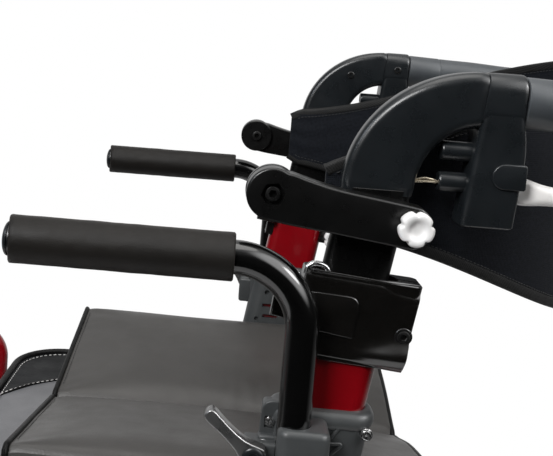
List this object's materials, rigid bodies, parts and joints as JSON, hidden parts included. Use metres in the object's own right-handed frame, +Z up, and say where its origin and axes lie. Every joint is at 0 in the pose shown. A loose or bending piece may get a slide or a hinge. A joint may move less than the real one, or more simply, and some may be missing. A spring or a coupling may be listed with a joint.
{
  "type": "manual wheelchair",
  "caption": "Folding attendant-pushed wheelchair with padded split seat, sling back band, foam armrests, telescoping handles with brake levers, swing-away footrests and swivel casters.",
  "frame": {"origin": "on the floor, under the middle of the chair's box", "axes": "+Z up, -X the way the sitter faces, +Y to the chair's right side as the far side of the picture, -Y to the near side"},
  "size_m": [1.08, 0.61, 0.895],
  "materials": {
    "red_paint": "glossy candy red metallic paint",
    "gloss_black": "glossy black paint",
    "black_tube": "satin black coating",
    "black_plastic": "satin moulded plastic",
    "grey_plastic": "satin moulded plastic",
    "foam": "matt closed-cell foam",
    "grip_rubber": "matt rubber",
    "brake_rubber": "matt rubber",
    "tyre": "matt rubber",
    "white_plastic": "smooth cream-white plastic",
    "leatherette": "fine grain, dark warm grey",
    "mesh_fabric": "close woven mesh, blue-black",
    "cable": "plain wire"
  },
  "bodies": {
    "left_frame": {"left_post": "red_paint", "left_rail": "red_paint", "left_arch": "red_paint", "left_hub": "grey_plastic", "left_seat_rail": "black_tube", "left_bracket": "gloss_black", "left_axle_plate": "black_tube", "left_seat": "leatherette", "pouch": "leatherette"},
    "brace_a": {"brace_a": "black_tube"},
    "brace_b": {"brace_b": "black_tube"},
    "right_frame": {"right_post": "red_paint", "right_rail": "red_paint", "right_arch": "red_paint", "right_hub": "grey_plastic", "right_seat_rail": "black_tube", "right_bracket": "gloss_black", "right_axle_plate": "black_tube", "right_seat": "leatherette"},
    "left_handle": {"left_inner_tube": "black_tube", "left_elbow": "black_plastic", "left_grip": "grip_rubber", "left_brake_housing": "black_plastic", "left_cable": "cable", "left_back_arm": "black_plastic", "left_backrest": "mesh_fabric"},
    "left_knob": {"left_knob": "white_plastic"},
    "left_brake_lever": {"left_brake_lever": "white_plastic"},
    "left_brake_shoe": {"left_brake_shoe": "brake_rubber"},
    "left_caster_fork": {"left_caster_fork": "black_plastic"},
    "left_caster_wheel": {"left_caster_rim": "grey_plastic", "left_caster_tyre": "tyre"},
    "left_rear_wheel": {"left_rear_rim": "grey_plastic", "left_rear_tyre": "tyre"},
    "left_armrest": {"left_armrest_tube": "gloss_black", "left_armrest_foam": "foam"},
    "left_release_lever": {"left_release_lever": "grey_plastic"},
    "left_footrest": {"left_footrest": "black_tube"},
    "right_handle": {"right_inner_tube": "black_tube", "right_elbow": "black_plastic", "right_grip": "grip_rubber", "right_brake_housing": "black_plastic", "right_cable": "cable", "right_back_arm": "black_plastic", "right_backrest": "mesh_fabric"},
    "right_knob": {"right_knob": "white_plastic"},
    "right_brake_lever": {"right_brake_lever": "white_plastic"},
    "right_brake_shoe": {"right_brake_shoe": "brake_rubber"},
    "right_caster_fork": {"right_caster_fork": "black_plastic"},
    "right_caster_wheel": {"right_caster_rim": "grey_plastic", "right_caster_tyre": "tyre"},
    "right_rear_wheel": {"right_rear_rim": "grey_plastic", "right_rear_tyre": "tyre"},
    "right_armrest": {"right_armrest_tube": "gloss_black", "right_armrest_foam": "foam"},
    "right_release_lever": {"right_release_lever": "grey_plastic"},
    "right_footrest": {"right_footrest": "black_tube"}
  },
  "joints": [
    {"name": "fold", "type": "hinge", "parent": "left_frame", "child": "brace_a", "pos_m": [0.14, -0.19, 0.47402], "axis": [-1, 0, 0], "range_deg": [0, 41], "deforming": ["left_seat", "right_seat", "left_backrest", "right_backrest", "pouch"]},
    {"name": "brace_cross", "type": "hinge", "parent": "brace_a", "child": "brace_b", "pos_m": [0.14, 0, 0.37299], "axis": [-1, 0, 0], "range_deg": [-84, 2]},
    {"name": "brace_right", "type": "hinge", "parent": "brace_b", "child": "right_frame", "pos_m": [0.14, 0.19, 0.47402], "axis": [-1, 0, 0], "range_deg": [-1, 42]},
    {"name": "left_handle_height", "type": "slide", "parent": "left_frame", "child": "left_handle", "axis": [0.149, 0, 0.9888], "range_m": [-0.008, 0.08]},
    {"name": "left_knob_turn", "type": "hinge", "parent": "left_handle", "child": "left_knob", "pos_m": [0.29343, -0.2593, 0.76115], "axis": [0, -1, 0], "continuous": true},
    {"name": "left_brake", "type": "hinge", "parent": "left_handle", "child": "left_brake_lever", "pos_m": [0.35724, -0.229, 0.7948], "axis": [0, -1, 0], "range_deg": [0, 12], "stiffness_Nm_per_rad": 2, "springref_deg": -2.86},
    {"name": "left_brake_shoe", "type": "hinge", "parent": "left_frame", "child": "left_brake_shoe", "pos_m": [0.25402, -0.229, 0.31], "axis": [0, -1, 0], "range_deg": [-0.5, 6.5]},
    {"name": "left_caster_swivel", "type": "hinge", "parent": "left_frame", "child": "left_caster_fork", "pos_m": [-0.246, -0.229, 0.262], "axis": [0, 0, 1], "continuous": true},
    {"name": "left_caster_roll", "type": "hinge", "parent": "left_caster_fork", "child": "left_caster_wheel", "pos_m": [-0.206, -0.229, 0.095], "axis": [0, 1, 0], "continuous": true},
    {"name": "left_wheel_roll", "type": "hinge", "parent": "left_frame", "child": "left_rear_wheel", "pos_m": [0.39, -0.29, 0.15], "axis": [0, 1, 0], "continuous": true},
    {"name": "left_armrest_swing", "type": "hinge", "parent": "left_frame", "child": "left_armrest", "pos_m": [0.22, -0.262, 0.729], "axis": [0, 0, 1], "range_deg": [0, 110]},
    {"name": "left_release", "type": "hinge", "parent": "left_frame", "child": "left_release_lever", "pos_m": [0.1915, -0.262, 0.58], "axis": [0, -1, 0], "range_deg": [0, 20], "stiffness_Nm_per_rad": 0.3, "springref_deg": -11.46},
    {"name": "left_footrest_swing", "type": "hinge", "parent": "left_frame", "child": "left_footrest", "pos_m": [-0.2753, -0.229, 0.362], "axis": [0, 0, 1], "range_deg": [0, 90]},
    {"name": "right_handle_height", "type": "slide", "parent": "right_frame", "child": "right_handle", "axis": [0.149, 0, 0.9888], "range_m": [-0.008, 0.08]},
    {"name": "right_knob_turn", "type": "hinge", "parent": "right_handle", "child": "right_knob", "pos_m": [0.29343, 0.2593, 0.76115], "axis": [0, 1, 0], "continuous": true},
    {"name": "right_brake", "type": "hinge", "parent": "right_handle", "child": "right_brake_lever", "pos_m": [0.35992, 0.229, 0.8126], "axis": [0, -1, 0], "range_deg": [0, 12], "stiffness_Nm_per_rad": 2, "springref_deg": -2.86},
    {"name": "right_brake_shoe", "type": "hinge", "parent": "right_frame", "child": "right_brake_shoe", "pos_m": [0.25402, 0.229, 0.31], "axis": [0, -1, 0], "range_deg": [-0.5, 6.5]},
    {"name": "right_caster_swivel", "type": "hinge", "parent": "right_frame", "child": "right_caster_fork", "pos_m": [-0.246, 0.229, 0.262], "axis": [0, 0, 1], "continuous": true},
    {"name": "right_caster_roll", "type": "hinge", "parent": "right_caster_fork", "child": "right_caster_wheel", "pos_m": [-0.206, 0.229, 0.095], "axis": [0, 1, 0], "continuous": true},
    {"name": "right_wheel_roll", "type": "hinge", "parent": "right_frame", "child": "right_rear_wheel", "pos_m": [0.39, 0.29, 0.15], "axis": [0, 1, 0], "continuous": true},
    {"name": "right_armrest_swing", "type": "hinge", "parent": "right_frame", "child": "right_armrest", "pos_m": [0.22, 0.262, 0.729], "axis": [0, 0, -1], "range_deg": [0, 110]},
    {"name": "right_release", "type": "hinge", "parent": "right_frame", "child": "right_release_lever", "pos_m": [0.1915, 0.262, 0.58], "axis": [0, -1, 0], "range_deg": [0, 20], "stiffness_Nm_per_rad": 0.3, "springref_deg": -11.46},
    {"name": "right_footrest_swing", "type": "hinge", "parent": "right_frame", "child": "right_footrest", "pos_m": [-0.2753, 0.229, 0.362], "axis": [0, 0, -1], "range_deg": [0, 90]}
  ],
  "couplings": [
    {"joint": "brace_cross", "follows": "fold", "ratio": -2},
    {"joint": "brace_right", "follows": "fold", "ratio": 1},
    {"joint": "left_brake_shoe", "follows": "left_brake", "ratio": 0.5},
    {"joint": "right_brake_shoe", "follows": "right_brake", "ratio": 0.5},
    {"joint": "right_handle_height", "follows": "left_handle_height", "ratio": 1}
  ]
}
